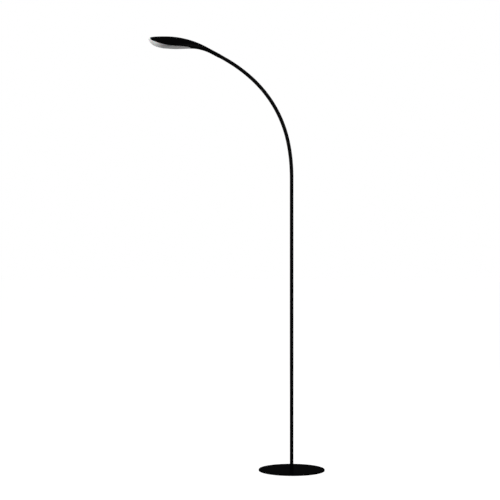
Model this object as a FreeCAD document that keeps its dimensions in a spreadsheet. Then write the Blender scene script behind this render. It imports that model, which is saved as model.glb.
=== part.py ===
import FreeCAD
import Part
import Sketcher

import math
import os

from FreeCAD import Placement, Rotation, Vector

# Gooseneck reading floor lamp, in millimetres.
# The origin is the centre of the base's underside, on the floor. +Z is up, and
# the arm leans over toward -X, in the plane Y = 0.

SIZES = {
    # base
    "base_diameter": 230.0,
    "base_thickness": 5.0,
    "base_edge": 1.2,
    "pad_diameter": 216.0,
    "pad_thickness": 1.0,
    "recess_diameter": 44.0,
    "recess_depth": 3.2,
    "channel_width": 7.0,
    "channel_depth": 3.0,
    "grommet_length": 9.0,
    "nut_across_flats": 13.0,
    "nut_thickness": 2.2,
    "washer_diameter": 17.0,
    "washer_thickness": 0.8,
    # pole
    "pole_diameter": 12.7,
    "pole_wall": 1.0,
    "lower_pole_length": 508.0,
    "upper_pole_length": 508.0,
    "insert_length": 18.0,
    "stud_diameter": 8.0,
    "stud_bore": 4.8,
    "nipple_length": 30.0,
    "lead_diameter": 3.6,
    # gooseneck
    "neck_diameter": 13.0,
    "neck_bore": 5.0,
    "collar_length": 4.0,
    "low_bend_length": 119.8,
    "low_bend_radius": 576.7,
    "middle_bend_length": 254.0,
    "middle_bend_radius": 411.9,
    "high_bend_length": 132.4,
    "high_bend_radius": 512.5,
    "link_count": 14,
    "ribs_per_link": 6,
    "rib_sides": 12,
    "rib_depth": 0.7,
    "crest_width": 2.8,
    "joint_gap": 2.4,
    "ball_radius": 4.9,
    "ball_reach": 3.3,
    "ball_clearance": 0.3,
    "cup_depth": 4.3,
    "spigot_length": 16.0,
    # head
    "head_neck_diameter": 14.0,
    "head_mouth": 8.0,
    "head_neck_straight": 35.6,
    "head_droop": 27.97,
    "belly_radius": 185.0,
    "crown_radius": 303.0,
    "crown_ahead": 75.0,
    "nose_ahead": 133.5,
    "nose_height": 32.0,
    "nose_underside_length": 60.0,
    "nose_plan_length": 78.5,
    "nose_roundness": 2.7,
    "head_width": 78.0,
    "rim_height": 2.2,
    "rim_start_ahead": 35.0,
    "head_wall": 2.0,
    "head_facets": 24,
    "rear_sections": 7,
    "front_sections": 7,
    "last_section_turn": 86.0,
    "section_margin": 6.0,
    "window_length": 149.0,
    "window_width": 80.0,
    "board_length": 94.0,
    "board_width": 50.0,
    "board_thickness": 1.6,
    "board_height": 5.2,
    "board_setback": 16.0,
    "spreader_thickness": 1.5,
    "spreader_margin": 3.0,
    "chip_size": 2.8,
    "chip_thickness": 0.7,
    "chip_pitch": 9.0,
    "chip_clearance": 1.5,
    "middle_row_length": 76.0,
    "side_row_length": 58.0,
    "boss_diameter": 6.0,
    "boss_spacing_x": 64.0,
    "boss_spacing_y": 22.0,
    "screw_diameter": 2.6,
    "screw_length": 8.0,
    "screw_head": 1.4,
    "connector_length": 9.0,
    "connector_width": 8.0,
    "connector_height": 5.0,
    "connector_inset": 6.0,
    "head_lead_radius": 60.0,
    "grub_diameter": 3.0,
    "grub_clearance": 0.3,
}

os.makedirs("parts", exist_ok=True)
doc = FreeCAD.newDocument("floor_lamp")
sheet = doc.addObject("Spreadsheet::Sheet", "sizes")
for row, (alias, number) in enumerate(SIZES.items(), start=1):
    cell = "A%d" % row
    sheet.set(cell, str(number))
    sheet.setAlias(cell, alias)
doc.recompute()


def size(alias):
    """The number in the sheet's cell of that name."""
    return float(getattr(sheet, alias))


pieces = []


def keep(piece, node):
    """Name a finished sub-part; its label is also the name of its file."""
    piece.Label = node
    pieces.append(piece)
    return piece


# ---------------------------------------------------------------- helpers

def bind(item, **formulas):
    """Tie properties of an object to formulas on the sheet's cells."""
    for name, formula in formulas.items():
        item.setExpression(name, formula)


def cylinder(name, diameter, length, foot, x="0", y="0"):
    """An upright cylinder whose sizes and place are formulas."""
    item = doc.addObject("Part::Cylinder", name)
    bind(item, Radius="(%s) / 2" % diameter, Height=length)
    item.setExpression(".Placement.Base.x", x)
    item.setExpression(".Placement.Base.y", y)
    item.setExpression(".Placement.Base.z", foot)
    return item


def cut(name, base, tool):
    item = doc.addObject("Part::Cut", name)
    item.Base = base
    item.Tool = tool
    return item


def ring(node, outer, inner, length, foot):
    """A tube or washer on the pole's axis."""
    outside = cylinder(node + "_outside", outer, length, foot)
    inside = cylinder(node + "_bore", inner, length, foot)
    return keep(cut(node + "_solid", outside, inside), node)


def role_plane(body, role):
    return [item for item in body.Origin.OriginFeatures if item.Role == role][0]


def circle_sketch(body, name, alias):
    """A sketch of one circle on the body's XY plane, its diameter a named size."""
    sketch = body.newObject("Sketcher::SketchObject", name)
    sketch.AttachmentSupport = [(role_plane(body, "XY_Plane"), "")]
    sketch.MapMode = "FlatFace"
    sketch.addGeometry(Part.Circle(Vector(0, 0, 0), Vector(0, 0, 1), size(alias) / 2), False)
    sketch.addConstraint(Sketcher.Constraint("Coincident", 0, 3, -1, 1))
    rule = sketch.addConstraint(Sketcher.Constraint("Diameter", 0, size(alias)))
    sketch.renameConstraint(rule, "diameter")
    sketch.setExpression("Constraints.diameter", "sizes.%s" % alias)
    return sketch


def channel_sketch(body, name):
    """The cord channel's outline: centred on X, from the axis out past the edge."""
    sketch = body.newObject("Sketcher::SketchObject", name)
    sketch.AttachmentSupport = [(role_plane(body, "XY_Plane"), "")]
    sketch.MapMode = "FlatFace"
    side = size("channel_width") / 2
    out = size("base_diameter") / 2 + size("base_edge")
    corners = [Vector(-side, 0, 0), Vector(side, 0, 0), Vector(side, out, 0),
               Vector(-side, out, 0)]
    for index in range(4):
        sketch.addGeometry(Part.LineSegment(corners[index], corners[(index + 1) % 4]), False)
    for index in range(4):
        sketch.addConstraint(Sketcher.Constraint("Coincident", index, 2, (index + 1) % 4, 1))
    sketch.addConstraint(Sketcher.Constraint("Horizontal", 2))
    sketch.addConstraint(Sketcher.Constraint("Vertical", 1))
    sketch.addConstraint(Sketcher.Constraint("Vertical", 3))
    sketch.addConstraint(Sketcher.Constraint("Symmetric", 0, 1, 0, 2, -2))
    sketch.addConstraint(Sketcher.Constraint("PointOnObject", 0, 1, -1))
    wide = sketch.addConstraint(Sketcher.Constraint("DistanceX", 0, 1, 0, 2, 2 * side))
    sketch.renameConstraint(wide, "wide")
    sketch.setExpression("Constraints.wide", "sizes.channel_width")
    deep = sketch.addConstraint(Sketcher.Constraint("DistanceY", 1, 1, 1, 2, out))
    sketch.renameConstraint(deep, "deep")
    sketch.setExpression("Constraints.deep", "sizes.base_diameter / 2 + sizes.base_edge")
    return sketch


def pad(body, name, sketch, length):
    item = body.newObject("PartDesign::Pad", name)
    item.Profile = sketch
    item.setExpression("Length", length)
    return item


def pocket_up(body, name, sketch, depth):
    """A pocket that cuts upward, in +Z, from its sketch."""
    item = body.newObject("PartDesign::Pocket", name)
    item.Profile = sketch
    item.Reversed = True
    item.setExpression("Length", depth)
    return item


# ------------------------------------------------------------------- base

PLATE_TOP = "sizes.pad_thickness + sizes.base_thickness"

# A disc of foam glued under the plate, which keeps it from slipping.
keep(cylinder("pad_disc", "sizes.pad_diameter", "sizes.pad_thickness", "0"), "base_pad")

# The steel plate: a turned disc with an eased edge, a round recess below for
# the nut, a hole for the stud and a channel that takes the lead out behind.
plate = doc.addObject("PartDesign::Body", "base_plate_body")
plate_disc = pad(plate, "plate_disc", circle_sketch(plate, "plate_outline", "base_diameter"),
                 "sizes.base_thickness")
plate_recess = pocket_up(plate, "plate_recess",
                         circle_sketch(plate, "recess_outline", "recess_diameter"),
                         "sizes.recess_depth")
plate_hole = pocket_up(plate, "plate_hole",
                       circle_sketch(plate, "hole_outline", "stud_diameter"),
                       "sizes.base_thickness")
plate_channel = pocket_up(plate, "plate_channel", channel_sketch(plate, "channel_outline"),
                          "sizes.channel_depth")
doc.recompute()


def circular_edge(shape, radius, height):
    """The name of the full circle of that radius at that height."""
    for index, edge in enumerate(shape.Edges, start=1):
        if not isinstance(edge.Curve, Part.Circle) or len(edge.Vertexes) != 1:
            continue
        if math.isclose(edge.Curve.Radius, radius) and math.isclose(edge.Curve.Center.z, height):
            return "Edge%d" % index
    raise ValueError("no such edge")


plate_edge = plate.newObject("PartDesign::Chamfer", "plate_edge")
plate_edge.Base = (plate_channel, [circular_edge(plate_channel.Shape, size("base_diameter") / 2,
                                                 size("base_thickness"))])
plate_edge.setExpression("Size", "sizes.base_edge")
plate.Tip = plate_edge
plate.setExpression(".Placement.Base.z", "sizes.pad_thickness")
keep(plate, "base_plate")

# A rubber grommet that lines the channel's mouth at the rear of the plate.
grommet_block = doc.addObject("Part::Box", "grommet_block")
bind(grommet_block, Length="sizes.channel_width", Width="sizes.grommet_length",
     Height="sizes.channel_depth")
GROMMET_Y = "sizes.base_diameter / 2 - sizes.grommet_length - sizes.base_edge"
grommet_block.setExpression(".Placement.Base.x", "-sizes.channel_width / 2")
grommet_block.setExpression(".Placement.Base.y", GROMMET_Y)
grommet_block.setExpression(".Placement.Base.z", "sizes.pad_thickness")
grommet_slot = doc.addObject("Part::Box", "grommet_slot")
bind(grommet_slot, Length="sizes.lead_diameter", Width="sizes.grommet_length",
     Height="sizes.channel_depth / 2")
grommet_slot.setExpression(".Placement.Base.x", "-sizes.lead_diameter / 2")
grommet_slot.setExpression(".Placement.Base.y", GROMMET_Y)
grommet_slot.setExpression(".Placement.Base.z", "sizes.pad_thickness")
keep(cut("grommet_solid", grommet_block, grommet_slot), "cord_grommet")

# A hollow threaded stud through the plate, with its lock washer and hex nut.
RECESS_TOP = "sizes.pad_thickness + sizes.recess_depth"
WASHER_FOOT = "%s - sizes.washer_thickness" % RECESS_TOP
NUT_FOOT = "%s - sizes.nut_thickness" % WASHER_FOOT
ring("pole_stud", "sizes.stud_diameter", "sizes.stud_bore",
     "%s + sizes.insert_length - (%s)" % (PLATE_TOP, NUT_FOOT), NUT_FOOT)
ring("lock_washer", "sizes.washer_diameter", "sizes.stud_diameter", "sizes.washer_thickness",
     WASHER_FOOT)
nut_prism = doc.addObject("Part::Prism", "nut_prism")
nut_prism.Polygon = 6
bind(nut_prism, Circumradius="sizes.nut_across_flats / 2 / cos(30)", Height="sizes.nut_thickness")
nut_prism.setExpression(".Placement.Base.z", NUT_FOOT)
nut_bore = cylinder("nut_bore", "sizes.stud_diameter", "sizes.nut_thickness", NUT_FOOT)
keep(cut("nut_solid", nut_prism, nut_bore), "base_nut")

# ------------------------------------------------------------------- pole

POLE_BORE = "sizes.pole_diameter - 2 * sizes.pole_wall"
POLE_JOINT = "%s + sizes.lower_pole_length" % PLATE_TOP
POLE_TOP = "%s + sizes.upper_pole_length" % POLE_JOINT

# Two lengths of drawn steel tube, butted at mid height. Inserts pressed into
# their ends are threaded for the stud below and for a hollow nipple between.
ring("lower_pole", "sizes.pole_diameter", POLE_BORE, "sizes.lower_pole_length", PLATE_TOP)
ring("upper_pole", "sizes.pole_diameter", POLE_BORE, "sizes.upper_pole_length", POLE_JOINT)
ring("pole_foot_insert", POLE_BORE, "sizes.stud_diameter", "sizes.insert_length", PLATE_TOP)
ring("lower_joint_insert", POLE_BORE, "sizes.stud_diameter", "sizes.insert_length",
     "%s - sizes.insert_length" % POLE_JOINT)
ring("upper_joint_insert", POLE_BORE, "sizes.stud_diameter", "sizes.insert_length", POLE_JOINT)
ring("pole_nipple", "sizes.stud_diameter", "sizes.stud_bore", "sizes.nipple_length",
     "%s - sizes.nipple_length / 2" % POLE_JOINT)

# The lead that hangs in the pole, from the base's recess to the gooseneck.
keep(cylinder("lead_core", "sizes.lead_diameter",
              "%s + sizes.collar_length - (%s)" % (POLE_TOP, NUT_FOOT), NUT_FOOT), "pole_lead")

# -------------------------------------------------------------- gooseneck
# The arm is a wound metal gooseneck. It bends anywhere along its length, and
# is made here as short equal lengths, each with a ball at its top end that sits
# in the cup of the next one. The joints hide in the grooves between the ribs.

doc.recompute()
pole_top = (size("pad_thickness") + size("base_thickness") + size("lower_pole_length")
            + size("upper_pole_length"))
link_count = int(size("link_count"))
neck_length = size("low_bend_length") + size("middle_bend_length") + size("high_bend_length")
link_length = neck_length / link_count
half_gap = size("joint_gap") / 2
crest_radius = size("neck_diameter") / 2
root_radius = crest_radius - size("rib_depth")
bore_radius = size("neck_bore") / 2
ball_radius = size("ball_radius")
cup_radius = ball_radius + size("ball_clearance")
sides = int(size("rib_sides"))


def lean(along):
    """How far the arm leans from upright, in radians, that far along it."""
    low = min(along, size("low_bend_length"))
    middle = min(max(along - size("low_bend_length"), 0.0), size("middle_bend_length"))
    high = max(along - size("low_bend_length") - size("middle_bend_length"), 0.0)
    return (low / size("low_bend_radius") + middle / size("middle_bend_radius")
            + high / size("high_bend_radius"))


def polygon(radius, height):
    """Corners of a regular polygon across the arm, its sides halved by the circle."""
    reach = radius * (1 + 1 / math.cos(math.pi / sides)) / 2
    return [Vector(reach * math.cos(2 * math.pi * side / sides),
                   reach * math.sin(2 * math.pi * side / sides), height)
            for side in range(sides)]


def flat_face(corners):
    return Part.Face(Part.makePolygon(corners + [corners[0]]))


def turned(rings):
    """A flat-sided solid through rings of (radius, height)."""
    hoops = [polygon(radius, height) for radius, height in rings]
    faces = [flat_face(hoops[0]), flat_face(hoops[-1])]
    for low, high in zip(hoops, hoops[1:]):
        for side in range(sides):
            after = (side + 1) % sides
            faces.append(flat_face([low[side], low[after], high[after], high[side]]))
    solid = Part.Solid(Part.Shell(faces))
    if solid.Volume < 0:
        solid.reverse()
    return solid


def sphere_rings(radius, centre, heights):
    """The rings of a ball, or of the hollow for one, at heights above its centre."""
    return [(math.sqrt(radius ** 2 - height ** 2), centre + height) for height in heights]


def ball_rings(centre):
    """The rings of a ball end that stands up out of a face half a gap below."""
    return sphere_rings(ball_radius, centre,
                        [-half_gap, size("ball_reach") / 3, size("ball_reach")])


def cup_cutter():
    """What a cup end takes out: a hollow round the last ball's centre, at 0."""
    middle = (half_gap + size("cup_depth")) / 2
    return turned(sphere_rings(cup_radius, 0.0, [0.0, half_gap, middle, size("cup_depth")]))


def bore_cutter(foot, top):
    return turned([(bore_radius, foot), (bore_radius, top)])


def rib_rings(foot, top, count):
    """Rings of ribs: flat crests with V grooves between them."""
    pitch = (top - foot) / count
    half_crest = size("crest_width") / 2
    flank = pitch / 2 - half_crest
    rings = []
    for index in range(count):
        centre = foot + (index + 0.5) * pitch
        rings.append((crest_radius, centre - half_crest))
        rings.append((crest_radius, centre + half_crest))
        rings.append((root_radius, centre + half_crest + flank))
    return rings[:-1]


def edge_radius():
    """The arm's radius at the end faces of a length, part way down a groove."""
    pitch = link_length / int(size("ribs_per_link"))
    flank = pitch / 2 - size("crest_width") / 2
    return root_radius + size("rib_depth") * half_gap / flank


def link_solid():
    """One length, upright, from its cup's centre at 0 to its ball's centre."""
    ribs = rib_rings(0.0, link_length, int(size("ribs_per_link")))
    foot = (edge_radius(), half_gap)
    top = (edge_radius(), link_length - half_gap)
    barrel = turned([foot] + ribs + [top])
    ball = turned(ball_rings(link_length))
    solid = barrel.fuse(ball).cut(cup_cutter())
    return solid.cut(bore_cutter(0.0, link_length + size("ball_reach"))).removeSplitter()


def set_on(shape, base, tilt):
    """Lean an upright shape by an angle toward -X, and stand it on a point."""
    return Placement(base, Rotation(Vector(0, 1, 0), -math.degrees(tilt)))


def solid_feature(node, shape, placement):
    item = doc.addObject("Part::Feature", node + "_feature")
    item.Shape = shape
    item.Placement = placement
    return keep(item, node)


first_hinge = Vector(0, 0, pole_top + size("collar_length") + half_gap)

# The root ferrule: a plug pressed into the pole, a collar as wide as the arm
# and the first ball.
pole_bore_radius = size("pole_diameter") / 2 - size("pole_wall")
collar_foot = -half_gap - size("collar_length")
plug_foot = Vector(0, 0, collar_foot - size("insert_length"))
root_plug = Part.makeCylinder(pole_bore_radius, size("insert_length"), plug_foot)
root_collar = turned([(crest_radius, collar_foot), (crest_radius, -half_gap - size("rib_depth")),
                      (edge_radius(), -half_gap)])
root_ball = turned(ball_rings(0.0))
root_bore = Part.makeCylinder(bore_radius, size("ball_reach") - plug_foot.z, plug_foot)
solid_feature("gooseneck_root_ferrule",
              root_plug.fuse(root_collar).fuse(root_ball).cut(root_bore).removeSplitter(),
              Placement(first_hinge, Rotation()))

hinge = Vector(first_hinge)
hinges = [hinge]
one_link = link_solid()
for number in range(link_count):
    tilt = lean((number + 0.5) * link_length)
    solid_feature("gooseneck_link_%02d" % (number + 1), one_link.copy(),
                  set_on(one_link, hinge, tilt))
    hinge = hinge + Vector(-math.sin(tilt), 0, math.cos(tilt)) * link_length
    hinges.append(hinge)

# ------------------------------------------------------------------- head
# The head is drawn in its own frame: its origin is the last hinge, u runs
# forward to the nose, v is up, and the flat of its underside is level. At the
# mouth the arm comes in from below, at the angle of the head's droop.

droop = math.radians(size("head_droop"))
into_head = Vector(-math.cos(droop), 0, math.sin(droop))
neck_radius = size("head_neck_diameter") / 2
wall = size("head_wall")
rise = Vector(math.sin(droop), 0, math.cos(droop))


def at(u, v, y=0.0):
    return Vector(-u, y, v)


neck_end = into_head * size("head_neck_straight")
under_tangent = neck_end - rise * neck_radius
under_centre = under_tangent - rise * size("belly_radius")
flat_u = -under_centre.x
flat_v = under_centre.z + size("belly_radius")
crown_u = flat_u + size("crown_ahead")
crown_across = neck_end.dot(rise) + neck_radius - size("crown_radius")
crown_v = (crown_across + math.sin(droop) * crown_u) / math.cos(droop)
crown_top = crown_v + size("crown_radius")
crown_tangent_u = crown_u - size("crown_radius") * math.sin(droop)
crown_tangent_v = crown_v + size("crown_radius") * math.cos(droop)
nose_u = flat_u + size("nose_ahead")
nose_v = flat_v + size("nose_height")
rim_u = flat_u + size("rim_start_ahead")
plan_u = nose_u - size("nose_plan_length")


def crown(u):
    """Height of the head's top line."""
    if u < crown_tangent_u:
        return crown_tangent_v - (crown_tangent_u - u) * math.tan(droop)
    if u <= crown_u:
        return crown_v + math.sqrt(size("crown_radius") ** 2 - (u - crown_u) ** 2)
    share = min((u - crown_u) / (nose_u - crown_u), 1.0)
    power = size("nose_roundness")
    return nose_v + (crown_top - nose_v) * (1 - share ** power) ** (1 / power)


def belly(u):
    """Height of the head's underside on the centre line."""
    if u < -under_tangent.x:
        return under_tangent.z - (-under_tangent.x - u) * math.tan(droop)
    if u <= flat_u:
        return under_centre.z + math.sqrt(size("belly_radius") ** 2 - (u - flat_u) ** 2)
    start = nose_u - size("nose_underside_length")
    share = min(max((u - start) / (nose_u - start), 0.0), 1.0)
    return nose_v - (nose_v - flat_v) * math.sqrt(1 - share ** 2)


def ease(share):
    share = min(max(share, 0.0), 1.0)
    return share * share * (3 - 2 * share)


def rim(u):
    """Height of the widest line, where shell and diffuser meet."""
    if u > rim_u:
        run = nose_u - rim_u
        climb = nose_v - flat_v - size("rim_height")
        sweep = (run ** 2 + climb ** 2) / (2 * climb)
        return flat_v + size("rim_height") + sweep - math.sqrt(sweep ** 2 - (u - rim_u) ** 2)
    middle = (crown(u) - belly(u)) / 2
    share = ease((u + neck_end.x) / (flat_u + neck_end.x))
    return belly(u) + middle + (size("rim_height") - middle) * share


def half_width(u):
    """Half the head's width in plan."""
    widest = size("head_width") / 2
    if u > plan_u:
        share = min((u - plan_u) / (nose_u - plan_u), 1.0)
        return widest * math.sqrt(1 - share ** 2)
    share = min((plan_u - u) / (plan_u + neck_end.x), 1.0)
    return neck_radius + (widest - neck_radius) * (1 + math.cos(math.pi * share)) / 2


facets = int(size("head_facets"))


def oval(centre, side, top, bottom):
    """Corners of a section: half an oval above the widest line and half below."""
    corners = []
    for index in range(facets):
        angle = 2 * math.pi * index / facets
        lift = top * math.sin(angle) if index <= facets / 2 else bottom * -math.sin(angle)
        corners.append(centre + side * math.cos(angle) + lift)
    return corners


def skin(sections):
    """A closed solid of triangles through sections with equally many corners."""
    faces = [flat_face(sections[0]), flat_face(sections[-1])]
    for near, ahead in zip(sections, sections[1:]):
        for index in range(facets):
            after = (index + 1) % facets
            if index < facets / 4 or facets / 2 <= index < facets * 3 / 4:
                faces.append(flat_face([near[index], near[after], ahead[after]]))
                faces.append(flat_face([near[index], ahead[after], ahead[index]]))
            else:
                faces.append(flat_face([near[index], near[after], ahead[index]]))
                faces.append(flat_face([near[after], ahead[after], ahead[index]]))
    solid = Part.Solid(Part.Shell(faces))
    if solid.Volume < 0:
        solid.reverse()
    return solid


def round_section(along, radius):
    """A round section square to the head's neck."""
    return oval(into_head * along, Vector(0, radius, 0), rise * radius, rise * -radius)


def upright_section(u, inset):
    height = rim(u)
    return oval(at(u, height), Vector(0, half_width(u) - inset, 0),
                Vector(0, 0, crown(u) - height - inset), Vector(0, 0, belly(u) - height + inset))


def stations(reach):
    """Where sections are cut: evenly up to the widest place, then closing up."""
    start = crown_tangent_u + size("section_margin")
    count = int(size("rear_sections"))
    places = [start + (plan_u - start) * index / count for index in range(count + 1)]
    count = int(size("front_sections"))
    for index in range(1, count + 1):
        turn = math.radians(size("last_section_turn")) * (1 - (1 - index / count) ** 1.5)
        places.append(plan_u + (reach - plan_u) * math.sin(turn))
    return places


def envelope(inset):
    """The head's outline as one solid, or the same drawn in by a wall."""
    sections = [round_section(size("head_mouth"), neck_radius - inset),
                round_section(size("head_neck_straight") - size("section_margin"),
                              neck_radius - inset)]
    for u in stations(nose_u - inset):
        sections.append(upright_section(u, inset))
    return skin(sections)


outside = envelope(0.0)
inside = envelope(wall)

# What is below the rim and inside the window's outline is the diffuser's.
window_u = nose_u - size("window_length") / 2
half_window = size("window_width") / 2
front_u = nose_u + half_window
rear_u = window_u - size("window_length")
low_v = flat_v - half_window
level = flat_v + size("rim_height")
rim_line = [at(rear_u, level), at(rim_u, level)]
rim_line += [at(u, rim(u)) for u in stations(nose_u) if u > rim_u]
rim_line += [at(front_u, nose_v), at(front_u, low_v), at(rear_u, low_v)]
below_rim = flat_face([point - Vector(0, size("head_width"), 0) for point in rim_line])
below_rim = below_rim.extrude(Vector(0, 2 * size("head_width"), 0))
backward = Vector(size("window_length") / 2, 0, 0)
window_oval = oval(at(window_u, low_v), Vector(0, half_window, 0), backward, -backward)
window_rear = window_oval[:facets // 2 + 1]
window_front = [at(front_u, low_v, -half_window), at(front_u, low_v, half_window)]
window_column = flat_face(window_rear + window_front).extrude(Vector(0, 0, crown_top - low_v))
window_region = below_rim.common(window_column)

head_placement = Placement(hinge, Rotation(Vector(0, 1, 0),
                                           math.degrees(math.pi / 2 - droop - lean(neck_length))))

board_u = window_u - size("board_setback")
board_v = flat_v + size("board_height")
spreader_v = board_v + size("board_thickness")
boss_v = spreader_v + size("spreader_thickness")
boss_places = [(board_u + along * size("boss_spacing_x") / 2, across * size("boss_spacing_y") / 2)
               for along in (-1, 1) for across in (-1, 1)]


def post(u, y, foot, top, diameter):
    """An upright flat-sided post in the head's frame."""
    solid = turned([(diameter / 2, 0), (diameter / 2, top - foot)])
    solid.translate(at(u, foot, y))
    return solid


def drilled(solid, foot, top):
    for u, y in boss_places:
        solid = solid.cut(post(u, y, foot, top, size("screw_diameter")))
    return solid


# The shell: a moulded cover, hollow, with four screw bosses under its roof.
bosses = [post(u, y, boss_v, crown_top, size("boss_diameter")) for u, y in boss_places]
shell = outside.cut(inside)
for boss in bosses:
    shell = shell.fuse(boss.common(inside))
screw_grip = size("screw_length") - size("board_thickness") - size("spreader_thickness")
shell = drilled(shell, boss_v, boss_v + screw_grip)
shell = shell.cut(window_region)
grub_along = size("head_mouth") + size("spigot_length") / 2
grub_hole = Part.makeCylinder(size("grub_diameter") / 2, neck_radius + wall,
                              into_head * grub_along, rise * -1)
shell = shell.cut(grub_hole)
solid_feature("head_shell", shell, head_placement)

# The diffuser: an opal moulding, flat behind and rounded up at the nose.
diffuser = outside.common(window_region).cut(inside)
solid_feature("diffuser", diffuser, head_placement)

# The tip ferrule: the last cup, a collar, and a spigot inside the head's neck,
# which it meets at the middle of each flat.
spigot_radius = (neck_radius - wall) * math.cos(math.pi / facets)
tip_collar = turned([(edge_radius(), half_gap), (crest_radius, half_gap + size("rib_depth")),
                     (crest_radius, size("head_mouth"))])
tip_spigot = Part.makeCylinder(spigot_radius, size("spigot_length"),
                               Vector(0, 0, size("head_mouth")))
grub_seat = Part.makeCylinder(size("grub_diameter") / 2, spigot_radius,
                              Vector(0, 0, grub_along), Vector(-1, 0, 0))
tip = tip_collar.fuse(tip_spigot).cut(cup_cutter())
tip = tip.cut(bore_cutter(0.0, size("head_mouth") + size("spigot_length"))).cut(grub_seat)
lean_in_head = Placement(Vector(0, 0, 0), Rotation(Vector(0, 0, 1), into_head))
solid_feature("gooseneck_tip_ferrule", tip.removeSplitter(),
              head_placement.multiply(lean_in_head))

# The grub screw that locks the head on the ferrule, from below.
grub_start = bore_radius + size("grub_clearance")
grub_length = neck_radius - size("grub_clearance") - grub_start
grub = Part.makeCylinder(size("grub_diameter") / 2, grub_length,
                         into_head * grub_along - rise * grub_start, rise * -1)
solid_feature("neck_grub_screw", grub, head_placement)

# ---- the light inside the head


def oval_plate(length, width, thickness, foot):
    outline = oval(at(board_u, foot), Vector(0, width / 2, 0), Vector(length / 2, 0, 0),
                   Vector(-length / 2, 0, 0))
    return flat_face(outline).extrude(Vector(0, 0, thickness))


margin = 2 * size("spreader_margin")
solid_feature("led_board", drilled(oval_plate(size("board_length"), size("board_width"),
                                              size("board_thickness"), board_v),
                                   board_v, spreader_v), head_placement)
solid_feature("heat_spreader", drilled(oval_plate(size("board_length") + margin,
                                                  size("board_width") + margin,
                                                  size("spreader_thickness"), spreader_v),
                                       spreader_v, boss_v), head_placement)

# Three rows of chips, with gaps where the screws are.
chips = []
chip = size("chip_size")
clear = chip + size("chip_clearance")
for row in (-1, 0, 1):
    row_length = size("side_row_length") if row else size("middle_row_length")
    reach = int(row_length / 2 / size("chip_pitch"))
    for step in range(-reach, reach + 1):
        u = board_u + step * size("chip_pitch")
        y = row * size("boss_spacing_y") / 2
        near_screw = any(abs(u - boss_u) < clear and abs(y - boss_y) < clear
                         for boss_u, boss_y in boss_places)
        if not near_screw:
            chips.append(Part.makeBox(chip, chip, size("chip_thickness"),
                                      at(u + chip / 2, board_v - size("chip_thickness"),
                                         y - chip / 2)))
solid_feature("led_chips", Part.makeCompound(chips), head_placement)

screws = []
for u, y in boss_places:
    screw = turned([(size("screw_diameter"), -size("screw_head")), (size("screw_diameter"), 0),
                    (size("screw_diameter") / 2, 0),
                    (size("screw_diameter") / 2, size("screw_length"))])
    screw.translate(at(u, board_v, y))
    screws.append(screw)
solid_feature("board_screws", Part.makeCompound(screws), head_placement)

connector_u = board_u - size("board_length") / 2 + size("connector_inset")
connector = Part.makeBox(size("connector_length"), size("connector_width"),
                         size("connector_height"),
                         at(connector_u + size("connector_length"), boss_v,
                            -size("connector_width") / 2))
solid_feature("wire_connector", connector, head_placement)

# The lead from the ferrule to the connector: along the neck, then level.
lead_v = boss_v + size("connector_height") / 2
corner = into_head * (lead_v / math.sin(droop))
tangent = size("head_lead_radius") * math.tan(droop / 2)
lead_start = into_head * (size("head_mouth") + wall / 2)
bend_in = corner - into_head * tangent
bend_out = corner + at(tangent, 0)
bend_centre = bend_in - rise * size("head_lead_radius")
bend_middle = bend_centre + (rise + Vector(0, 0, 1)).normalize() * size("head_lead_radius")
lead_path = Part.Wire([Part.LineSegment(lead_start, bend_in).toShape(),
                       Part.Arc(bend_in, bend_middle, bend_out).toShape(),
                       Part.LineSegment(bend_out, at(connector_u, lead_v)).toShape()])
lead_radius = size("lead_diameter") / 2
lead_corners = [Vector(0, lead_radius, 0), rise * lead_radius, Vector(0, -lead_radius, 0),
                rise * -lead_radius]
lead_corners = [lead_start + corner for corner in lead_corners]
lead_end = Part.makePolygon(lead_corners + [lead_corners[0]])
head_lead = lead_path.makePipeShell([lead_end], True, False)
print("head lead volume %.1f of %.1f" % (head_lead.Volume,
                                         lead_path.Length * 2 * lead_radius ** 2))
solid_feature("head_lead", head_lead, head_placement)

# ------------------------------------------------------------------ output

doc.recompute()
for item in doc.Objects:
    if "Invalid" in item.State or "Error" in item.State:
        raise ValueError("%s did not build: %s" % (item.Name, item.State))
for piece in pieces:
    if piece.Shape.isNull() or not piece.Shape.isValid():
        raise ValueError("%s has no valid shape" % piece.Label)
for piece in pieces:
    piece.Shape.exportStep("parts/%s.step" % piece.Label)
print("%d sub-parts" % len(pieces))
print("first hinge %s, last hinge %s" % (hinges[0], hinges[-1]))
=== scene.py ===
import math

import bmesh
import bpy
from mathutils import Matrix, Vector


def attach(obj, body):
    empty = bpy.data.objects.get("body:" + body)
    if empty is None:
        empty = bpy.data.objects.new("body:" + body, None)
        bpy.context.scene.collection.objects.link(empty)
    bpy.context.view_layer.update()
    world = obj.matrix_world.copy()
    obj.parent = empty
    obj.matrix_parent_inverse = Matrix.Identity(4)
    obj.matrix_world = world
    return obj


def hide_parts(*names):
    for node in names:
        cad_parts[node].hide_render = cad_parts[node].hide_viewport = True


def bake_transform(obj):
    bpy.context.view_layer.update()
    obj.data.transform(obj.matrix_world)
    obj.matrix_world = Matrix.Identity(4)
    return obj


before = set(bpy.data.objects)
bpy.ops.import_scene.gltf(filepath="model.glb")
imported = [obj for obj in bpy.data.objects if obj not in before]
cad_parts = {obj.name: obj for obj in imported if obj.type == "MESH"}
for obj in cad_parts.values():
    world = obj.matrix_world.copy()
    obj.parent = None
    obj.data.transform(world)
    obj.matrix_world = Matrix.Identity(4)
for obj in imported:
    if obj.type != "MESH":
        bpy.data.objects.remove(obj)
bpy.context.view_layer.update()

# ---------------------------------------------------------------- the view
# The lamp stands in front of a plain white surround, seen level from the side
# that its arm leans across. The camera is far off, behind a long lens.

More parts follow.
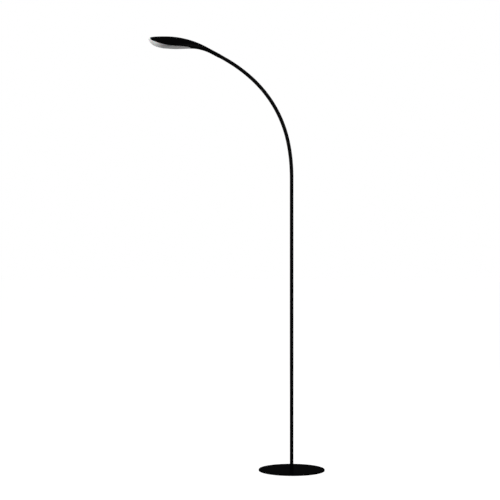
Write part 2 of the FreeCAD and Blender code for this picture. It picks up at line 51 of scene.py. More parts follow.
eye = bpy.data.cameras.new("eye")
eye.sensor_width = 36.0
eye.lens = 94.89
camera = bpy.data.objects.new("eye", eye)
camera.location = (-0.145, -4.59, 0.7687)
camera.rotation_euler = (math.pi / 2, 0, 0)
bpy.context.scene.collection.objects.link(camera)
bpy.context.scene.camera = camera
bpy.context.scene.view_settings.view_transform = "Standard"


class Flow:
    """A value that runs between nodes. Arithmetic on it adds Math nodes."""

    def __init__(self, book, socket):
        self.book = book
        self.socket = socket

    def sum_of(self, operation, first, second):
        return self.book.node("ShaderNodeMath", {"operation": operation}, {0: first, 1: second})

    def __add__(self, other):
        return self.sum_of("ADD", self, other)

    def __sub__(self, other):
        return self.sum_of("SUBTRACT", self, other)

    def __rsub__(self, other):
        return self.sum_of("SUBTRACT", other, self)

    def __mul__(self, other):
        return self.sum_of("MULTIPLY", self, other)

    def __pow__(self, other):
        return self.sum_of("POWER", self, other)

    __radd__ = __add__
    __rmul__ = __mul__


class NodeBook:
    """A node tree that nodes are written into."""

    def __init__(self, tree):
        self.tree = tree

    def node(self, kind, settings=None, sockets=None, out=0):
        """A new node with its settings, and its sockets set or linked."""
        made = self.tree.nodes.new(kind)
        for name, value in (settings or {}).items():
            setattr(made, name, value)
        for key, value in (sockets or {}).items():
            if isinstance(value, Flow):
                self.tree.links.new(value.socket, made.inputs[key])
            else:
                made.inputs[key].default_value = value
        return Flow(self, made.outputs[out])


def seen_white(book):
    """1 where the camera, a gloss or a clear part looks, and 0 for plain light."""
    looks = [book.node("ShaderNodeLightPath", out=kind)
             for kind in ("Is Camera Ray", "Is Glossy Ray", "Is Transmission Ray")]
    either = looks[0].sum_of("MAXIMUM", looks[0], looks[1])
    return looks[0].sum_of("MAXIMUM", either, looks[2])


white = (1, 1, 1, 1)
space = bpy.data.worlds.new("white_space")
space.use_nodes = True
bpy.context.scene.world = space
sky = NodeBook(space.node_tree)
plain_light = sky.node("ShaderNodeBackground", None, {"Color": white, "Strength": 0.36})
white_look = sky.node("ShaderNodeBackground", None, {"Color": white, "Strength": 1.0})
either_look = sky.node("ShaderNodeMixShader", None,
                       {0: seen_white(sky), 1: plain_light, 2: white_look})
space.node_tree.links.new(either_look.socket, space.node_tree.nodes["World Output"].inputs[0])

floor_reach = 30
floor_corners = [(-floor_reach, -floor_reach, 0), (floor_reach, -floor_reach, 0),
                 (floor_reach, floor_reach, 0), (-floor_reach, floor_reach, 0)]
floor_mesh = bpy.data.meshes.new("floor")
floor_mesh.from_pydata(floor_corners, [], [(0, 1, 2, 3)])
floor = bpy.data.objects.new("floor", floor_mesh)
bpy.context.scene.collection.objects.link(floor)
floor_paint = bpy.data.materials.new("pale_floor")
floor_paint.use_nodes = True
floor_paint.node_tree.nodes.clear()
ground = NodeBook(floor_paint.node_tree)
matt_ground = ground.node("ShaderNodeBsdfDiffuse", None, {"Color": (0.16, 0.16, 0.16, 1)})
lit_ground = ground.node("ShaderNodeEmission", None,
                         {"Color": white, "Strength": seen_white(ground) * 0.945})
ground_mix = ground.node("ShaderNodeAddShader", None, {0: matt_ground, 1: lit_ground})
ground_end = floor_paint.node_tree.nodes.new("ShaderNodeOutputMaterial")
floor_paint.node_tree.links.new(ground_mix.socket, ground_end.inputs[0])
floor_mesh.materials.append(floor_paint)


def softbox(name, place, aim, width, height, power):
    """A large rectangular lamp, turned to a point."""
    light = bpy.data.lights.new(name, "AREA")
    light.shape = "RECTANGLE"
    light.size = width
    light.size_y = height
    light.energy = power
    lamp = bpy.data.objects.new(name, light)
    lamp.location = place
    way = Vector(aim) - Vector(place)
    lamp.rotation_euler = way.to_track_quat("-Z", "Y").to_euler()
    bpy.context.scene.collection.objects.link(lamp)


softbox("key_box", (2.2, -2.6, 2.9), (-0.1, 0, 0.9), 1.2, 1.8, 95)
softbox("nose_box", (-3.2, -0.9, 1.6), (-0.4, 0, 1.4), 1.2, 1.4, 75)
softbox("back_box", (-0.6, 3.0, 2.6), (-0.1, 0, 0.8), 2.0, 1.4, 45)

# ---------------------------------------------------------------- the base
# A round steel plate, turned, with its edge eased, and powder coated in a black
# satin paint. A foam disc is glued below it. Its channel takes a lead out at
# the rear through a rubber grommet, and a nut below holds the pole.


class Finish(NodeBook):
    """A surface finish: one shader, what is the same all over it, and what varies."""

    def __init__(self, name, colour, **constants):
        self.material = bpy.data.materials.new(name)
        self.material.use_nodes = True
        super().__init__(self.material.node_tree)
        self.shader = self.tree.nodes["Principled BSDF"]
        self.shader.inputs["Base Color"].default_value = (*colour, 1)
        for name_of_socket, value in constants.items():
            self.shader.inputs[name_of_socket.replace("_", " ")].default_value = value
        self.place = self.node("ShaderNodeTexCoord", out="Object")

    def grain(self, size, detail=2.0, stretch=(1, 1, 1)):
        """Soft noise from 0 to 1, its grains about that many millimetres across."""
        spread = [1000.0 / size * part for part in stretch]
        place = self.node("ShaderNodeMapping", None, {"Vector": self.place, "Scale": spread})
        return self.node("ShaderNodeTexNoise", None,
                         {"Vector": place, "Scale": 1.0, "Detail": detail, "Roughness": 0.55})

    def shade(self, share, low, high):
        """A colour between two, by a share from 0 to 1."""
        return self.node("ShaderNodeMix", {"data_type": "RGBA"},
                         {0: share, 6: (*low, 1), 7: (*high, 1)}, out=2)

    def vary(self, socket, flow):
        self.tree.links.new(flow.socket, self.shader.inputs[socket])

    def relief(self, height, depth, strength=1.0):
        """Small bumps, depth in millimetres."""
        bump = self.node("ShaderNodeBump", None,
                         {"Strength": strength, "Distance": depth / 1000, "Height": height})
        self.vary("Normal", bump)


def powder_coat(part, gloss):
    """Black satin paint with a fine orange-peel skin and a little dust."""
    coat = Finish("black_powder_coat_on_" + part, (0.004, 0.004, 0.0043), Specular_IOR_Level=0.0,
                  Coat_Roughness=0.24)
    cloud = coat.grain(38, 3.0)
    peel = coat.grain(0.9, 2.0)
    coat.vary("Base Color", coat.shade(cloud, (0.0008, 0.0008, 0.0009), (0.0018, 0.0018, 0.0020)))
    coat.vary("Roughness", 0.42 + 0.14 * cloud + 0.06 * peel)
    coat.vary("Coat Weight", gloss * (1.0 - 0.3 * cloud))
    coat.relief(peel, 0.03, 0.6)
    return coat


def from_rings(name, rings, closed):
    """A mesh through rings of equally many corners, in millimetres. A ring of one
    corner is a pole. A closed mesh joins its last ring to its first."""
    form = bmesh.new()
    laid = [[form.verts.new(Vector(corner) / 1000) for corner in ring] for ring in rings]
    pairs = list(zip(laid, laid[1:])) + ([(laid[-1], laid[0])] if closed else [])
    for near, ahead in pairs:
        count = max(len(near), len(ahead))
        for index in range(count):
            after = (index + 1) % count
            corners = [near[index % len(near)], near[after % len(near)],
                       ahead[after % len(ahead)], ahead[index % len(ahead)]]
            form.faces.new(list(dict.fromkeys(corners)))
    bmesh.ops.recalc_face_normals(form, faces=form.faces)
    mesh = bpy.data.meshes.new(name)
    form.to_mesh(mesh)
    form.free()
    return mesh


def turned(name, profile, count, stand=Matrix.Identity(4)):
    """A turned mesh: a closed profile of (radius, height) spun about the upright
    axis, then stood in place."""
    rings = []
    for radius, height in profile:
        ring = []
        for index in range(count):
            angle = 2 * math.pi * index / count
            ring.append(stand @ Vector((radius * math.cos(angle), radius * math.sin(angle),
                                        height)))
        rings.append(ring)
    return from_rings(name, rings, True)


def eased(corner, before, after, radius, steps=5):
    """Points round a corner of a profile that is eased by a small radius."""
    corner, before, after = Vector(corner), Vector(before), Vector(after)
    start = corner + (before - corner).normalized() * radius
    end = corner + (after - corner).normalized() * radius
    points = []
    for step in range(steps + 1):
        share = step / steps
        points.append(tuple(start.lerp(corner, share).lerp(corner.lerp(end, share), share)))
    return points


def eased_profile(corners, radii):
    """A closed profile with each corner eased by its own radius."""
    profile = []
    for index, (corner, radius) in enumerate(zip(corners, radii)):
        if radius:
            profile += eased(corner, corners[index - 1], corners[(index + 1) % len(corners)],
                             radius)
        else:
            profile.append(corner)
    return profile


def make_piece(name, mesh, finish, stands_for=()):
    """An object of the finished mesh, smooth where it curves."""
    sharp_from = math.radians(32)
    mesh.shade_smooth()
    mesh.set_sharp_from_angle(angle=sharp_from)
    mesh.materials.clear()
    mesh.materials.append(finish.material)
    made = bpy.data.objects.new(name, mesh)
    bpy.context.scene.collection.objects.link(made)
    if stands_for:
        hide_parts(*stands_for)
    return made


def finish_node(node, finish):
    """Give a solid that stays as it is its finish."""
    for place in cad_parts[node].material_slots:
        place.material = finish.material


def cut_by(mesh, cutter_mesh):
    """The mesh less another one."""
    body = bpy.data.objects.new("cut_body", mesh)
    tool = bpy.data.objects.new("cut_tool", cutter_mesh)
    for each in (body, tool):
        bpy.context.scene.collection.objects.link(each)
    knife = body.modifiers.new("knife", "BOOLEAN")
    knife.operation = "DIFFERENCE"
    knife.solver = "EXACT"
    knife.object = tool
    view = bpy.context.evaluated_depsgraph_get()
    result = bpy.data.meshes.new_from_object(body.evaluated_get(view),
                                             preserve_all_data_layers=True, depsgraph=view)
    bpy.data.objects.remove(body)
    bpy.data.objects.remove(tool)
    return result


plate_radius, plate_foot, plate_top = 115.0, 1.0, 6.0
recess_radius, recess_top, hole_radius = 22.0, 4.2, 4.0
channel_width, channel_length, channel_top = 7, 116, 4
plate_paint = powder_coat("plate", 0.006)
plate_corners = [(hole_radius, recess_top), (recess_radius, recess_top),
                 (recess_radius, plate_foot), (plate_radius, plate_foot),
                 (plate_radius, plate_top), (hole_radius, plate_top)]
plate_mesh = turned("plate", eased_profile(plate_corners, [0, 0, 0.4, 0.5, 1.6, 0.2]), 224)
channel = bmesh.new()
bmesh.ops.create_cube(channel, size=1.0)
for corner in channel.verts:
    corner.co = Vector((corner.co.x * channel_width, (corner.co.y + 0.5) * channel_length,
                        (corner.co.z + 0.5) * channel_top)) / 1000
channel_mesh = bpy.data.meshes.new("channel")
channel.to_mesh(channel_mesh)
channel.free()
plate = make_piece("painted_base_plate", cut_by(plate_mesh, channel_mesh), plate_paint,
                   ["base_plate"])
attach(plate, "stand")

foam = Finish("black_foam_pad", (0.012, 0.012, 0.013), Specular_IOR_Level=0.15)
foam_cells = foam.node("ShaderNodeTexVoronoi", None, {"Vector": foam.place, "Scale": 1400.0})
foam.vary("Base Color", foam.shade(foam_cells, (0.006, 0.006, 0.007), (0.020, 0.020, 0.021)))
foam.vary("Roughness", 0.80 + 0.15 * foam_cells)
foam.relief(foam_cells, 0.15)
finish_node("base_pad", foam)

rubber = Finish("black_rubber", (0.015, 0.015, 0.016), Specular_IOR_Level=0.2)
rubber_dust = rubber.grain(2.5, 3.0)
rubber.vary("Base Color", rubber.shade(rubber_dust, (0.010, 0.010, 0.010), (0.024, 0.024, 0.025)))
rubber.vary("Roughness", 0.62 + 0.2 * rubber_dust)
rubber.relief(rubber_dust, 0.05)
finish_node("cord_grommet", rubber)

zinc = Finish("zinc_plated_steel", (0.56, 0.57, 0.58), Metallic=1.0)
zinc_spangle = zinc.grain(1.6, 3.0)
zinc.vary("Base Color", zinc.shade(zinc_spangle, (0.46, 0.47, 0.49), (0.64, 0.64, 0.63)))
zinc.vary("Roughness", 0.24 + 0.22 * zinc_spangle)
zinc.relief(zinc.grain(0.5, 2.0, (1, 1, 8)), 0.02)
for fixing in ("pole_stud", "lock_washer", "base_nut", "pole_foot_insert", "lower_joint_insert",
               "upper_joint_insert", "pole_nipple"):
    finish_node(fixing, zinc)

# ---------------------------------------------------------------- the pole
# Two lengths of drawn steel tube, painted as the base is. They are screwed
# together at mid height on a nipple, where a hairline shows, and the lower one
# stands on the plate.

pole_radius, pole_bore, pole_middle, pole_top = 6.35, 5.35, 514.0, 1022.0
tube_paint = powder_coat("tube", 0.03)
for length, foot, top in (("lower", plate_top, pole_middle), ("upper", pole_middle, pole_top)):
    tube_corners = [(pole_bore, foot), (pole_radius, foot), (pole_radius, top), (pole_bore, top)]
    tube = turned(length + "_tube", eased_profile(tube_corners, [0.2, 0.25, 0.25, 0.2]), 64)
    tube_piece = make_piece("painted_%s_pole" % length, tube, tube_paint,
                            [length + "_pole"])
    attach(tube_piece, "stand")

sheath = Finish("grey_lead_sheath", (0.03, 0.03, 0.03))
sheath_rub = sheath.grain(4, 2.0)
sheath.vary("Base Color", sheath.shade(sheath_rub, (0.020, 0.020, 0.021), (0.040, 0.040, 0.041)))
sheath.vary("Roughness", 0.45 + 0.2 * sheath_rub)
finish_node("pole_lead", sheath)

# ----------------------------------------------------------- the gooseneck
# A flexible arm wound from steel strip and wire over a hollow core, coated in
# matt black. It stays where it is bent. A turned collar holds each end, and the
# close turns of its outer wire show as fine rings.

low_bend, middle_bend, high_bend = (119.8, 576.7), (254.0, 411.9), (132.4, 512.5)
link_count, half_gap, collar_radius, collar_length = 14, 1.2, 6.5, 4.0
groove_depth, turns_on_a_stretch, turns_at_an_end = 0.45, 12, 6
neck_length = low_bend[0] + middle_bend[0] + high_bend[0]
link_length = neck_length / link_count


def lean(along):
    """How far the arm leans over at that place along it, in radians."""
    low = min(along, low_bend[0])
    middle = min(max(along - low_bend[0], 0.0), middle_bend[0])
    high = max(along - low_bend[0] - middle_bend[0], 0.0)
    return low / low_bend[1] + middle / middle_bend[1] + high / high_bend[1]


hinges = [Vector((0, 0, pole_top + collar_length + half_gap))]
for number in range(link_count):
    tilt = lean((number + 0.5) * link_length)
    hinges.append(hinges[-1] + Vector((-math.sin(tilt), 0, math.cos(tilt))) * link_length)
middles = [(near + ahead) / 2 for near, ahead in zip(hinges, hinges[1:])]
droop = math.radians(27.97)
head_turn = math.pi / 2 - droop - lean(neck_length)
stand_head = Matrix.Translation(hinges[-1]) @ Matrix.Rotation(head_turn, 4, "Y")
into_head = Vector((-math.cos(droop), 0, math.sin(droop)))
rise = Vector((math.sin(droop), 0, math.cos(droop)))
neck_starts = [Vector((0, 0, pole_top + collar_length))] + middles
neck_ends = middles + [stand_head @ (into_head * half_gap)]

winding = bpy.data.node_groups.new("wound_neck", "GeometryNodeTree")
input_kinds = {"Start": "Vector", "Bend": "Vector", "End": "Vector", "Radius": "Float",
               "Groove": "Float", "Turns": "Int", "Steps": "Int", "Facets": "Int",
               "Coat": "Material"}
input_keys = {}
for name, kind in input_kinds.items():
    entry = winding.interface.new_socket(name, in_out="INPUT", socket_type="NodeSocket" + kind)
    input_keys[name] = entry.identifier
winding.interface.new_socket("Geometry", in_out="OUTPUT", socket_type="NodeSocketGeometry")


class Winding(NodeBook):
    """The nodes that wind one stretch of the arm along a bent line."""

    def given(self, name):
        return self.node("NodeGroupInput", out=name)

    def mark(self, shape, name, kind, value):
        """Keeps a value on the points of a shape under a name."""
        return self.node("GeometryNodeStoreNamedAttribute", {"data_type": kind},
                         {"Geometry": shape, "Name": name, "Value": value})

    def marked(self, name, kind):
        return self.node("GeometryNodeInputNamedAttribute", {"data_type": kind}, {"Name": name})

    def vector(self, operation, first, second):
        return self.node("ShaderNodeVectorMath", {"operation": operation}, {0: first, 1: second})


wind = Winding(winding)
line = wind.node("GeometryNodeCurveQuadraticBezier", None,
                 {"Resolution": wind.given("Turns") * wind.given("Steps"),
                  "Start": wind.given("Start"), "Middle": wind.given("Bend"),
                  "End": wind.given("End")})
line = wind.node("GeometryNodeSetCurveNormal", {"mode": "FREE"},
                 {"Curve": line, "Normal": (0, 1, 0)})
line = wind.mark(line, "along", "FLOAT",
                 wind.node("GeometryNodeSplineParameter", out="Factor") * wind.given("Turns"))
line = wind.mark(line, "axis", "FLOAT_VECTOR", wind.node("GeometryNodeInputPosition"))
hoop = wind.node("GeometryNodeCurvePrimitiveCircle", None,
                 {"Resolution": wind.given("Facets"), "Radius": wind.given("Radius")})
hoop = wind.mark(hoop, "around", "FLOAT", wind.node("GeometryNodeSplineParameter", out="Factor"))
skin = wind.node("GeometryNodeCurveToMesh", None,
                 {"Curve": line, "Profile Curve": hoop, "Fill Caps": True})
turn = wind.node("ShaderNodeMath", {"operation": "FRACT"},
                 {0: wind.marked("along", "FLOAT") + wind.marked("around", "FLOAT")})
off_crest = wind.node("ShaderNodeMath", {"operation": "ABSOLUTE"}, {0: turn * 2.0 - 1.0})
dip = off_crest ** 4.0
inward = wind.vector("NORMALIZE",
                     wind.vector("SUBTRACT", wind.marked("axis", "FLOAT_VECTOR"),
                                 wind.node("GeometryNodeInputPosition")), (0, 0, 0))
step_in = wind.node("ShaderNodeVectorMath", {"operation": "SCALE"},
                    {0: inward, "Scale": dip * wind.given("Groove")})
skin = wind.mark(skin, "crest", "FLOAT", 1.0 - dip)
skin = wind.node("GeometryNodeSetPosition", None, {"Geometry": skin, "Offset": step_in})
skin = wind.node("GeometryNodeRealizeInstances", None, {"Geometry": skin})
skin = wind.node("GeometryNodeSetMaterial", None,
                 {"Geometry": skin, "Material": wind.given("Coat")})
winding_end = winding.nodes.new("NodeGroupOutput")
winding.links.new(skin.socket, winding_end.inputs[0])

neck_coat = Finish("matt_black_gooseneck", (0.004, 0.004, 0.004), Specular_IOR_Level=0.0,
                   Coat_Roughness=0.38)
crest = neck_coat.node("ShaderNodeAttribute", {"attribute_name": "crest"}, out="Fac")
neck_speck = neck_coat.grain(1.1, 3.0)
# Painted shade: the base colour is darker down in the grooves between turns and lighter on the
# crests, with a random speckle mixed in.
neck_coat.vary("Base Color", neck_coat.shade(crest * 0.7 + neck_speck * 0.3,
                                             (0.0008, 0.0008, 0.0009), (0.0026, 0.0026, 0.0028)))
neck_coat.vary("Roughness", 0.62 - 0.16 * crest + 0.08 * neck_speck)
neck_coat.vary("Coat Weight", 0.012 + 0.03 * crest)
neck_coat.relief(neck_speck, 0.03, 0.5)

# Stretches 09 and 11 list their far end first, an order picked on the ten joint-limit
# poses alone. It is no cure: at other poses rounding in the blend's turning centre still
# often throws a stretch that crosses a bend hinge out of place, in either order.
blended_from_far_end = (8, 10)
neck_bodies = ["stand"] + ["link_%02d" % (number + 1) for number in range(link_count)] + ["head"]
for number, (start, bend, end) in enumerate(zip(neck_starts, hinges, neck_ends)):
    at_an_end = number in (0, link_count)
    blank = bpy.data.objects.new("neck_blank", bpy.data.meshes.new("neck_blank"))
    bpy.context.scene.collection.objects.link(blank)
    wound = blank.modifiers.new("wound", "NODES")
    wound.node_group = winding
    settings = {"Start": start / 1000, "Bend": bend / 1000, "End": end / 1000,
                "Radius": collar_radius / 1000, "Groove": groove_depth / 1000,
                "Turns": turns_at_an_end if at_an_end else turns_on_a_stretch,
                "Steps": 8, "Facets": 28,
                "Coat": neck_coat.material}
    for name, value in settings.items():
        wound[input_keys[name]] = value
    view = bpy.context.evaluated_depsgraph_get()
    neck_mesh = bpy.data.meshes.new_from_object(blank.evaluated_get(view),
                                                preserve_all_data_layers=True, depsgraph=view)
    bpy.data.objects.remove(blank)
    stands_for = ["gooseneck_link_%02d" % (number + 1)] if number < link_count else ()
    stretch = make_piece("gooseneck_turns_%02d" % (number + 1), neck_mesh, neck_coat,
                         stands_for)
    reach = [(neck_bodies[number], start), (neck_bodies[number + 1], end)]
    if number in blended_from_far_end:
        reach.reverse()
    (first_body, first), (last_body, last) = reach
    first / 1000
    last / 1000
    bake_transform(stretch)

ferrule_bore, root_depth = 2.5, 18
spigot_radius, flange_end, spigot_end = 5.0, 8.0, 24.0
root_foot, collar_top = pole_top - root_depth, pole_top + collar_length
root_corners = [(ferrule_bore, root_foot), (pole_bore, root_foot), (pole_bore, pole_top),
                (collar_radius, pole_top), (collar_radius, collar_top),
                (ferrule_bore, collar_top)]
root = turned("root", eased_profile(root_corners, [0, 0.4, 0, 0.3, 0.5, 0]), 48)
root_collar = make_piece("gooseneck_root_collar", root, tube_paint,
                         ["gooseneck_root_ferrule"])
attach(root_collar, "stand")

tip_corners = [(ferrule_bore, half_gap), (collar_radius, half_gap), (collar_radius, flange_end),
               (spigot_radius, flange_end), (spigot_radius, spigot_end),
               (ferrule_bore, spigot_end)]
tip_lean = Vector((0, 0, 1)).rotation_difference(into_head).to_matrix().to_4x4()
tip = turned("tip", eased_profile(tip_corners, [0, 0.5, 0.3, 0, 0.4, 0]), 48,
             stand_head @ tip_lean)
tip_collar = make_piece("gooseneck_tip_collar", tip, tube_paint,
                        ["gooseneck_tip_ferrule"])
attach(tip_collar, "head")

# ---------------------------------------------------------------- the head
# A moulded shell in fine-grained black plastic, shaped like a flattened drop:
# its neck grows out of the arm's collar, widens to an oval and rounds down at
# the nose. It is open below, where the diffuser clips in.

neck_radius, mouth, neck_straight = 7.0, 8.0, 35.6
belly_radius, crown_radius = 185.0, 303.0
crown_ahead, nose_ahead, nose_height = 75.0, 133.5, 32.0
nose_underside, nose_plan, nose_power = 60.0, 78.5, 2.7
head_width, rim_height, rim_ahead, head_wall = 78.0, 2.2, 35.0, 2.0
window_length, window_width = 149.0, 80.0
lip_start, lip_end = 10.0, 4.0
straighten_from, straighten_over, aim_rounds = 6, 32, 12

neck_end = into_head * neck_straight
under_tangent = neck_end - rise * neck_radius
under_centre = under_tangent - rise * belly_radius
flat_u = -under_centre.x
flat_v = under_centre.z + belly_radius
crown_u = flat_u + crown_ahead
crown_v = (neck_end.dot(rise) + neck_radius - crown_radius + math.sin(droop) * crown_u)
crown_v = crown_v / math.cos(droop)
crown_top = crown_v + crown_radius
tangent_u = crown_u - crown_radius * math.sin(droop)
tangent_v = crown_v + crown_radius * math.cos(droop)
nose_u = flat_u + nose_ahead
nose_v = flat_v + nose_height
rim_u = flat_u + rim_ahead
plan_u = nose_u - nose_plan
window_u = nose_u - window_length / 2


def crown(u):
    """Height of the top line, that far ahead of the last joint."""
    if u < tangent_u:
        return tangent_v - (tangent_u - u) * math.tan(droop)
    if u <= crown_u:
        return crown_v + math.sqrt(crown_radius ** 2 - (u - crown_u) ** 2)
    share = min((u - crown_u) / (nose_u - crown_u), 1.0)
    return nose_v + (crown_top - nose_v) * (1 - share ** nose_power) ** (1 / nose_power)


def belly(u):
    """Height of the underside on the centre line."""
    if u < -under_tangent.x:
        return under_tangent.z - (-under_tangent.x - u) * math.tan(droop)
    if u <= flat_u:
        return under_centre.z + math.sqrt(belly_radius ** 2 - (u - flat_u) ** 2)
    share = min(max((u - nose_u) / nose_underside + 1, 0.0), 1.0)
    return nose_v - nose_height * math.sqrt(1 - share ** 2)


def ease(share):
    share = min(max(share, 0.0), 1.0)
    return share * share * (3 - 2 * share)


def rim(u):
    """Height of the widest line, where shell and diffuser meet."""
    if u > rim_u:
        run = nose_u - rim_u
        climb = nose_height - rim_height
        sweep = (run ** 2 + climb ** 2) / (2 * climb)
        return flat_v + rim_height + sweep - math.sqrt(sweep ** 2 - (u - rim_u) ** 2)
    middle = (crown(u) - belly(u)) / 2
    return belly(u) + middle + (rim_height - middle) * ease((u + neck_end.x)
                                                            / (flat_u + neck_end.x))


def half_width(u):
    """Half the width in plan."""
    widest = head_width / 2
    if u > plan_u:
        return widest * math.sqrt(max(1 - ((u - plan_u) / nose_plan) ** 2, 0.0))
    share = min((plan_u - u) / (plan_u + neck_end.x), 1.0)
    return neck_radius + (widest - neck_radius) * (1 + math.cos(math.pi * share)) / 2


def seam(u):
    """The angle at which the shell's edge crosses a section: below the widest line
    behind, along it, then up and over the nose, where the diffuser makes a lip."""
    share = (u - window_u) / (window_length / 2)
    if share <= -1.0:
        return -math.pi / 2
    if share < 0.0:
        across = window_width / 2 * math.sqrt(1 - share ** 2) / half_width(u)
        return -math.acos(min(across, 1.0))
    return math.pi / 2 * ease((u - nose_u + lip_start) / (lip_start - lip_end))


def head_point(u, angle):
    """A point of the outer skin: the section's station and the angle round it,
    0 at one side, a quarter turn at the top."""
    slope = droop * (1 - ease((u + neck_end.x + straighten_from) / straighten_over))
    middle = rim(u)
    upward = math.sin(angle) >= 0
    way = 1 if upward else -1
    reach = 0.0
    for _ in range(aim_rounds):
        line_height = (crown if upward else belly)(u - way * reach * math.sin(slope))
        reach = way * (line_height - middle) / math.cos(slope)
    lift = reach * abs(math.sin(angle)) * way
    place = Vector((-(u - lift * math.sin(slope)), half_width(u) * math.cos(angle),
                    middle + lift * math.cos(slope)))
    return stand_head @ place


mouth_u = -into_head.x * mouth
rear_steps, window_steps, shell_steps, diffuser_steps = 44, 120, 112, 64
rear_stations = [mouth_u + (nose_u - window_length - mouth_u) * step / rear_steps
                 for step in range(rear_steps)]
window_stations = [window_u - window_length / 2 * math.cos(math.pi * step / window_steps)
                   for step in range(window_steps + 1)]


def patch(name, rows):
    """A mesh of one sheet through rows of points, doubled points merged."""
    form = bmesh.new()
    laid = [[form.verts.new(Vector(point) / 1000) for point in row] for row in rows]
    for near, ahead in zip(laid, laid[1:]):
        for index in range(len(near) - 1):
            form.faces.new([near[index], near[index + 1], ahead[index + 1], ahead[index]])
    bmesh.ops.remove_doubles(form, verts=form.verts, dist=0.00004)
    bmesh.ops.dissolve_degenerate(form, edges=form.edges, dist=0.00001)
    bmesh.ops.recalc_face_normals(form, faces=form.faces)
    mesh = bpy.data.meshes.new(name)
    form.to_mesh(mesh)
    form.free()
    return mesh


def walled(mesh, thickness):
    """The sheet given a wall on its inner side."""
    sheet = bpy.data.objects.new("sheet", mesh)
    bpy.context.scene.collection.objects.link(sheet)
    wall = sheet.modifiers.new("wall", "SOLIDIFY")
    wall.thickness = thickness / 1000
    wall.offset = -1.0
    wall.use_even_offset = False
    view = bpy.context.evaluated_depsgraph_get()
    result = bpy.data.meshes.new_from_object(sheet.evaluated_get(view),
                                             preserve_all_data_layers=True, depsgraph=view)
    bpy.data.objects.remove(sheet)
    return result


def outward(mesh, middle):
    """Turns the sheet's faces away from a point inside the head."""
    facing = sum((face.center - middle).dot(face.normal) * face.area for face in mesh.polygons)
    if facing < 0:
        mesh.flip_normals()
    return mesh


lip_u = nose_u - lip_end
shell_rows = []
for u in rear_stations + [u for u in window_stations if u < lip_u] + [lip_u]:
    start = seam(u)
    shell_rows.append([head_point(u, start + (math.pi - 2 * start) * step / shell_steps)
                       for step in range(shell_steps + 1)])
head_middle = stand_head @ Vector((-window_u, 0, (flat_v + crown_top) / 2)) / 1000
shell_sheet = outward(patch("shell", shell_rows), head_middle)

plastic = Finish("black_moulded_plastic", (0.004, 0.004, 0.0042), Specular_IOR_Level=0.0,
                 Coat_Roughness=0.30)
spark = plastic.grain(0.35, 2.0)
handling = plastic.grain(26, 3.0)
plastic.vary("Base Color", plastic.shade(handling, (0.0007, 0.0007, 0.0008),
                                         (0.0016, 0.0016, 0.0018)))
plastic.vary("Roughness", 0.40 + 0.10 * spark + 0.08 * handling)
plastic.vary("Coat Weight", 0.020 - 0.008 * handling)
plastic.relief(spark, 0.02, 0.7)
shell = make_piece("moulded_head_shell", walled(shell_sheet, head_wall), plastic,
                   ["head_shell"])
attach(shell, "head")

black_screw = Finish("black_oxide_screw", (0.02, 0.02, 0.021), Metallic=0.8)
screw_wear = black_screw.grain(0.4, 2.0)
black_screw.vary("Base Color", black_screw.shade(screw_wear, (0.010, 0.010, 0.011),
                                                 (0.035, 0.034, 0.033)))
black_screw.vary("Roughness", 0.35 + 0.25 * screw_wear)
finish_node("neck_grub_screw", black_screw)
finish_node("board_screws", zinc)

# ------------------------------------------------------------ the diffuser
# A moulding of opal acrylic, flat behind and rounded up at the nose, that
# closes the head from below and spreads the light. It clips in under the
# shell's rim, with a fine shadow gap round it. Its colour holds painted shade:
# dark grey behind, paler grey toward the nose.

shadow_gap, least_width = 0.35, 6.0
diffuser_rows = []
for u in window_stations:
    start = seam(u)
    if u <= lip_u:
        start -= shadow_gap / max(half_width(u), least_width)
    diffuser_rows.append([head_point(u, start - (math.pi + 2 * start) * step / diffuser_steps)
                          for step in range(diffuser_steps + 1)])
diffuser_sheet = outward(patch("diffuser", diffuser_rows), head_middle)
opal = Finish("opal_acrylic", (0.62, 0.62, 0.62), Specular_IOR_Level=0.3,
              Subsurface_Weight=0.2, Subsurface_Scale=0.003)
milk = opal.grain(30, 2.0)
skin_grain = opal.grain(0.6, 2.0)
forward = opal.node("ShaderNodeSeparateXYZ", None, {0: opal.place})
# Painted shade: the cover's colour runs from dark grey behind to a paler grey at the nose. It is
# darker than the white acrylic is, and stands in for the shade on the cover's underside.
painted_shading_share = opal.node("ShaderNodeMapRange", {"interpolation_type": "SMOOTHSTEP"},
                        {"Value": forward, "From Min": -0.425, "From Max": -0.478})
opal.vary("Base Color", opal.shade(painted_shading_share + 0.1 * milk, (0.215, 0.215, 0.215),
                                   (0.62, 0.62, 0.618)))
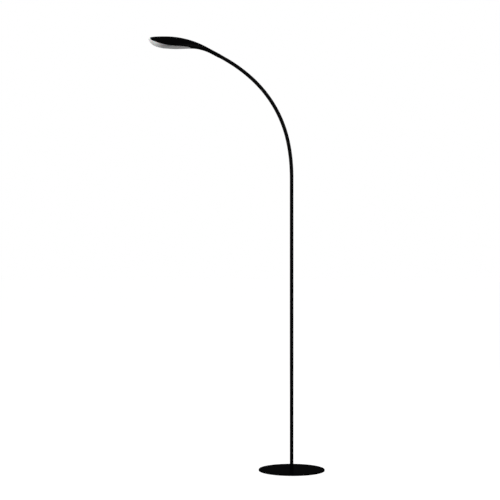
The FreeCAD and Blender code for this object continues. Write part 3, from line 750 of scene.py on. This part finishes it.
opal.vary("Roughness", 0.34 + 0.08 * milk + 0.05 * skin_grain)
opal.relief(skin_grain, 0.01, 0.5)
diffuser = make_piece("opal_diffuser_cover", walled(diffuser_sheet, head_wall), opal,
                      ["diffuser"])
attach(diffuser, "head")

# ------------------------------------------------ the light inside the head
# A white-coated circuit board with rows of warm chips sits on an aluminium heat
# spreader, which four screws hold to the shell's bosses. A push-in connector
# takes the lead from the arm.

board = Finish("white_solder_mask", (0.80, 0.80, 0.78))
weave = board.node("ShaderNodeTexWave", {"wave_type": "BANDS", "bands_direction": "X"},
                   {"Vector": board.place, "Scale": 500.0, "Distortion": 1.5}, out="Fac")
board.vary("Base Color", board.shade(weave, (0.76, 0.76, 0.74), (0.84, 0.84, 0.82)))
board.vary("Roughness", 0.35 + 0.1 * weave)
board.relief(weave, 0.01, 0.4)
finish_node("led_board", board)

bare_metal = Finish("brushed_aluminium", (0.72, 0.72, 0.73), Metallic=1.0)
brushing = bare_metal.grain(0.3, 3.0, (0.05, 1, 1))
bare_metal.vary("Base Color", bare_metal.shade(brushing, (0.64, 0.64, 0.66), (0.80, 0.80, 0.80)))
bare_metal.vary("Roughness", 0.28 + 0.2 * brushing)
bare_metal.relief(brushing, 0.01)
finish_node("heat_spreader", bare_metal)

phosphor = Finish("warm_phosphor", (0.85, 0.62, 0.12))
phosphor_cloud = phosphor.grain(1.0, 3.0)
phosphor.vary("Base Color", phosphor.shade(phosphor_cloud, (0.78, 0.55, 0.09),
                                           (0.90, 0.70, 0.18)))
phosphor.vary("Roughness", 0.40 + 0.2 * phosphor_cloud)
finish_node("led_chips", phosphor)

nylon = Finish("white_nylon", (0.78, 0.77, 0.73), Subsurface_Weight=0.1,
               Subsurface_Scale=0.002)
nylon_cloud = nylon.grain(3.0, 2.0)
nylon.vary("Base Color", nylon.shade(nylon_cloud, (0.74, 0.73, 0.69), (0.82, 0.81, 0.77)))
nylon.vary("Roughness", 0.42 + 0.1 * nylon_cloud)
finish_node("wire_connector", nylon)
finish_node("head_lead", sheath)
